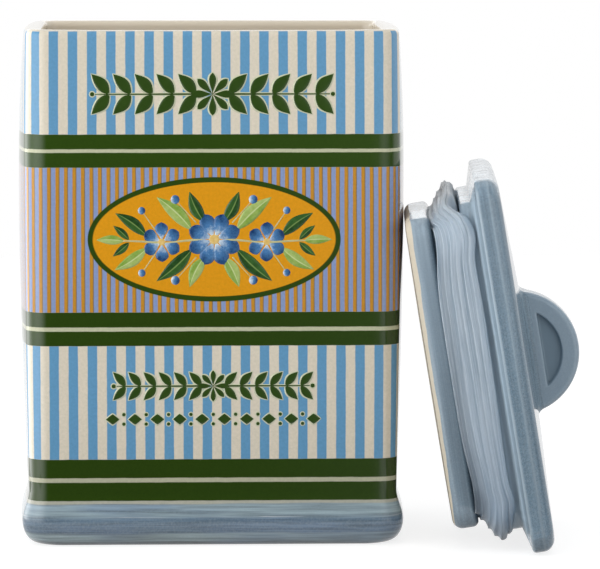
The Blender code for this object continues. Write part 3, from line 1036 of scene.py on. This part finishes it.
def handle_ring(height, out):
    """A ring round the handle, at a distance out from its sides."""
    half_length = sqrt(HANDLE_RADIUS**2 - (height - HANDLE_CENTRE) ** 2)
    return lid_ring(height, half_length + out, HANDLE_THICKNESS / 2 + out, HANDLE_ROUND + out, 0)


def crown_rings():
    """From the bullnose to the handle's foot, and a fillet up its sides."""
    outer = cover_ring(COVER_SHOULDER, COVER_TOP_ROUND)
    foot = handle_ring(CROWN_TOP, FILLET)
    rings = []
    for step in range(1, 15):
        ring = [start.lerp(end, step / 14) for start, end in zip(outer, foot)]
        rings.append([Vector((point.x, point.y, crown_at(point.x, point.y))) for point in ring])
    for left, gone in quarter_round(7, 1):
        ring = handle_ring(CROWN_TOP + FILLET * gone, FILLET * left - FILLET_SINK)
        for point, end in zip(ring, foot):
            point.z += (crown_at(end.x, end.y) - CROWN_TOP) * (1 - gone)
        rings.append(ring)
    return rings


def lid_matrix():
    """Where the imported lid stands: its own frame in the row frame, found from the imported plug."""
    turn = Euler((0, pi / 2 - LEAN_ANGLE, LEAN_TURN)).to_matrix()
    back = turn.transposed()
    points = [back @ vertex.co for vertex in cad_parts["lid_plug"].data.vertices]
    low, high = ([pick(point[axis] for point in points) for axis in range(3)] for pick in (min, max))
    origin = turn @ Vector(((low[0] + high[0]) / 2, (low[1] + high[1]) / 2, low[2]))
    return Matrix.Translation(origin) @ turn.to_4x4()


def build_lid(matrix):
    mesh = loft("lid", plug_rings() + cover_rings() + crown_rings())
    lid = add_piece("lid", mesh, (lid_material(matrix),), "lid", matrix)
    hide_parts("lid_plug", "lid_cover")


def handle_profile():
    """Radius, distance from the middle plane, and 1 on a face, from the front's middle to the back's."""
    half = HANDLE_THICKNESS / 2
    flat_steps = 70
    flat_radius = HANDLE_RADIUS - HANDLE_ROUND
    points = [(flat_radius * step / flat_steps, half, 1) for step in range(1, flat_steps + 1)]
    for left, gone in quarter_round(6, 1):
        points.append((HANDLE_RADIUS - HANDLE_ROUND * left, half - HANDLE_ROUND * gone, 0))
    rim = [(HANDLE_RADIUS + RIM_BULGE * cos(pi / 2 * share), (half - HANDLE_ROUND) * share, 0)
           for share in (0.66, 0.33, 0, -0.33, -0.66)]
    return points + rim + [(radius, -depth, face) for radius, depth, face in reversed(points)]


def dish_depth(x, z):
    """Depth of the D-shaped dish at a point of the face, measured from the disc's centre."""
    outside = hypot(x, z) - DISH_RADIUS
    below = DISH_BASE - z
    rounding = max(0, DISH_CORNER - abs(outside - below)) ** 2 / (4 * DISH_CORNER)
    return DISH_DEPTH * smooth_step(-(max(outside, below) + rounding) / DISH_SLOPE)


def build_handle(matrix):
    """A dished disc, whose half inside the cover is squashed flat."""
    bm = bmesh.new()
    turns = 240
    rows = []
    for radius, depth, face in handle_profile():
        row = []
        for turn in range(turns):
            angle = TAU * turn / turns
            x, z = radius * cos(angle), radius * sin(angle)
            side = depth - copysign(dish_depth(x, z) * face, depth)
            row.append(bm.verts.new((x, -side, HANDLE_CENTRE + (z if z > 0 else z * BURIED_HALF))))
        rows.append(row)
    bridge(bm, rows)
    for row, side in ((rows[0], -1), (rows[-1], 1)):
        middle = bm.verts.new((0, side * HANDLE_THICKNESS / 2, HANDLE_CENTRE))
        for index in range(turns):
            bm.faces.new((row[index], row[(index + 1) % turns], middle)).smooth = True
    bmesh.ops.recalc_face_normals(bm, faces=bm.faces)
    mesh = finished_mesh(bm, "handle")
    handle = add_piece("handle", mesh, (handle_material(matrix),), "lid", matrix)
    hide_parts("lid_handle")


# Gasket


def low_edge(u):
    """Height of the fins' lower border along the lid."""
    return (LOW_EDGE + humps(u / MM, LOW_EDGE_HUMPS)) * MM


def high_edge(u, v):
    """Height of the upper border, which falls at both ends and dips at the upper front corner."""
    u /= MM
    front = 1 - smooth_step((v / MOUTH_HALF_DEPTH + 1) / 2)
    fall = 2.9 * smooth_step((-61 - u) / 8) + humps(u, FRONT_CORNER_HUMPS) * front
    return (HIGH_EDGE + humps(u, HIGH_EDGE_HUMPS) - fall) * MM


def end_reach(u, place):
    """How far the fins reach over an end, at a share of the way from the flange to the cover."""
    start, gain, gained_by, loss, lost_from, lost_over = UPPER_END_REACH if u < 0 else LOWER_END_REACH
    reach = start + gain * min(1, place / gained_by)
    return (reach - loss * smooth_step((place - lost_from) / lost_over)) * MM


def noise_at(flat, scale, level):
    """Noise over the plan, with a pattern of its own for each level."""
    return noise.noise(Vector((flat.x * scale, flat.y * scale, level)))


def fin_border(far, line, at_end):
    """Height of the line between two fins, counted from the flange's side."""
    height = between(low_edge(far.x), high_edge(far.x, far.y), line / FIN_COUNT)
    wave = (0.55 + 0.3 * at_end) * noise_at(far, 24, line * 3.7)
    ripple = (0.08 + 0.5 * at_end) * noise_at(far, 90, line * 2.3)
    return height + (wave + ripple) * MM


def gasket_plan(offset):
    """The gasket's outline at a distance outside the groove's root."""
    inset = GROOVE_ROOT - offset
    return rounded_plan(MOUTH_HALF_WIDTH - inset, MOUTH_HALF_DEPTH - inset, GROOVE_CORNER + offset,
                        LID_END_SWELL, GASKET_STEPS)


def gasket_ring(fin, across, sink=0, reach=1, root=0):
    """A ring of the shingled skin: across runs over a fin, reach from the band out to the skin."""
    full = GROOVE_ROOT + GASKET_OVERSIZE
    edge = FIN_ROUND * (max(0, abs(2 * across - 1) - 0.6) / 0.4) ** 2
    ring = []
    for far, near in zip(gasket_plan(full), gasket_plan(0)):
        at_end = smooth_step((abs(far.x) - END_FROM) / END_SPAN)
        turn = smooth_step((abs(far.x) - TURN_FROM) / TURN_SPAN)
        height = between(fin_border(far, fin, at_end), fin_border(far, fin + 1, at_end), across)
        lean = FIN_STEP * (1 + 1.2 * noise_at(far, 14, fin * 2.9))
        ragged = FIN_RAGGED * at_end * noise_at(far, 300, fin * 5.1 + 0.4 * across)
        out = full - lean * across**2 - edge - sink * (1 + 5 * at_end)
        out += end_reach(far.x, (fin + across**3) / FIN_COUNT) * turn + ragged
        band = max(0.4 * MM, min(BAND_THICKNESS, out))
        flat = near.lerp(far, between(band, out, reach) / full)
        base = max(root, height + 0.4 * MM) if fin == 0 else min(root, height + 1.2 * MM)
        ring.append(Vector((flat.x, flat.y, between(base, height, reach**1.6))))
    return ring


def band_ring(flank):
    """The band's inner edge, level with the flank's root."""
    return [Vector((flat.x, flat.y, point.z)) for flat, point in zip(gasket_plan(BAND_INSIDE), flank)]


def build_gasket(matrix):
    """One closed skin: out from the band, over each fin in turn, and back to the band."""
    low, high = FLANGE_HEIGHT + BAND_CLEARANCE, GROOVE_TOP - BAND_CLEARANCE
    face_steps = 8
    flank = [step / 6 for step in range(6)]
    low_flank = [gasket_ring(0, 0, 0, share, low) for share in flank]
    rings = [(0, ring) for ring in [band_ring(low_flank[0])] + low_flank]
    for fin in range(FIN_COUNT):
        if fin > 0:
            rings.append((fin, gasket_ring(fin, 0, FIN_NOTCH)))
        for step in range(face_steps + 1):
            rings.append((fin + 0.998 * step / face_steps, gasket_ring(fin, step / face_steps)))
    high_flank = [gasket_ring(FIN_COUNT - 1, 1, 0, share, high) for share in reversed(flank)]
    rings += [(FIN_COUNT - 0.3, ring) for ring in high_flank + [band_ring(high_flank[-1])]]
    around = plan_lengths(gasket_plan(GROOVE_ROOT + GASKET_OVERSIZE))
    mesh = loft("gasket_fins", [ring for level, ring in rings], True, "fins",
                lambda row, column: (around[column], rings[row][0]))
    gasket = add_piece("gasket_fins", mesh, (silicone_material(matrix),), "lid", matrix)
    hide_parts("gasket")


# Studio


def build_camera():
    data = bpy.data.cameras.new("camera")
    data.lens = LENS
    camera = add_object("camera", data)
    camera.location = CAMERA_PLACE
    camera.rotation_euler = (pi / 2 - CAMERA_DIP, 0, CAMERA_TURN)
    bpy.context.scene.camera = camera


def add_softbox(name, place, aim, size, radiance, reflected=False):
    """A softbox as bright as its radiance, 1 being white. Only gloss shows a reflected one."""
    data = bpy.data.lights.new(name, "AREA")
    data.shape = "RECTANGLE"
    data.size, data.size_y = size
    data.energy = radiance * pi * size[0] * size[1]
    lamp = add_object(name, data)
    lamp.location = place
    lamp.rotation_euler = (Vector(aim) - Vector(place)).to_track_quat("-Z", "Y").to_euler()
    lamp.visible_camera = False
    lamp.visible_diffuse = not reflected
    lamp.visible_glossy = reflected
    return data


def fade_sides(data):
    """Fades a card from its middle towards its left and right edges."""
    data.use_nodes = True
    nodes = Nodes(data.node_tree)
    across = nodes.parts(nodes.node("ShaderNodeNewGeometry", output="Parametric"))[0]
    fade = nodes.math("COSINE", (across - 0.5) * pi)
    nodes.feed(nodes.tree.nodes["Emission"].inputs["Strength"], fade * fade)


def build_lights():
    boxes = (
        ("left_box", (-1.05, -0.34, 0.3), 0.3, (1.27, 1.2), 2.9),
        ("right_box", (0.85, -0.85, 0.35), 0.35, (1.5, 1.2), 0.8),
        ("key_box", (0.05, -0.5, 0.8), 0.12, (0.6, 0.35), 2.08),
    )
    for name, place, aim_height, size, radiance in boxes:
        add_softbox(name, place, (0.02, 0, aim_height), size, radiance)
    card_distance, card_height, card_level = 0.9, 1.2, 0.15
    # Degrees from the front towards the left, width, radiance
    cards = (
        ("left_front_card", 57, 2.3, 2.35),
        ("left_rear_card", 120, 1.2, 2.9),
        ("right_front_card", -35, 1.5, 0.95),
        ("right_rear_card", -90, 1.9, 0.2),
    )
    for name, degrees, width, radiance in cards:
        azimuth = radians(degrees)
        corner = Vector((-copysign(JAR_HALF_WIDTH, azimuth), -JAR_HALF_DEPTH, card_level))
        place = corner - card_distance * Vector((sin(azimuth), cos(azimuth), 0))
        fade_sides(add_softbox(name, place, corner, (width, card_height), radiance, reflected=True))
    add_softbox("back_card", (0.1, 1.5, 0.85), (0.1, 0, 0.85), (2.2, 1), 0.6, reflected=True)


def build_world():
    """An even fill. Reflections see a studio bright behind the jar, and the camera sees white."""
    world = bpy.data.worlds.new("studio")
    bpy.context.scene.world = world
    world.use_nodes = True
    nodes = Nodes(world.node_tree)

    def white(strength):
        return nodes.node("ShaderNodeBackground", {"Color": WHITE, "Strength": strength})

    rays = nodes.node("ShaderNodeLightPath")
    towards_back = nodes.parts(nodes.node("ShaderNodeTexCoord"))[1]
    studio = white(towards_back.ramp(-0.25, 0.15, 0.03, 1, "SMOOTHSTEP"))
    reflected = nodes.math("MAXIMUM", rays["Is Glossy Ray"], rays["Is Transmission Ray"])
    seen = nodes.node("ShaderNodeMixShader", (reflected, white(0.5), studio))
    seen = nodes.node("ShaderNodeMixShader", (rays["Is Camera Ray"], seen, white(1)))
    nodes.feed(world.node_tree.nodes["World Output"].inputs["Surface"], seen)


def build_floor():
    front, back, left, right, level = -0.175, 1.2, -0.21, 0.42, -0.05 * MM
    mesh = bpy.data.meshes.new("floor")
    corners = ((left, front, level), (right, front, level), (right, back, level), (left, back, level))
    mesh.from_pydata(corners, [], [(0, 1, 2, 3)])
    floor = add_object("floor", mesh)
    look = Shader("floor_paper")
    rays = look.node("ShaderNodeLightPath")
    seen = look.math("MAXIMUM", rays["Is Camera Ray"], rays["Is Glossy Ray"])
    seen = look.math("MAXIMUM", seen, rays["Is Transmission Ray"])
    look.set(Base_Color=(0.3, 0.3, 0.3), Roughness=0.9, Emission_Color=WHITE, Emission_Strength=seen * 0.8)
    mesh.materials.append(look.material)


def main():
    bpy.context.scene.view_settings.view_transform = "Standard"
    build_camera()
    build_jar()
    build_medallion()
    build_borders()
    matrix = lid_matrix()
    build_lid(matrix)
    build_handle(matrix)
    build_gasket(matrix)
    build_floor()
    build_lights()
    build_world()


main()
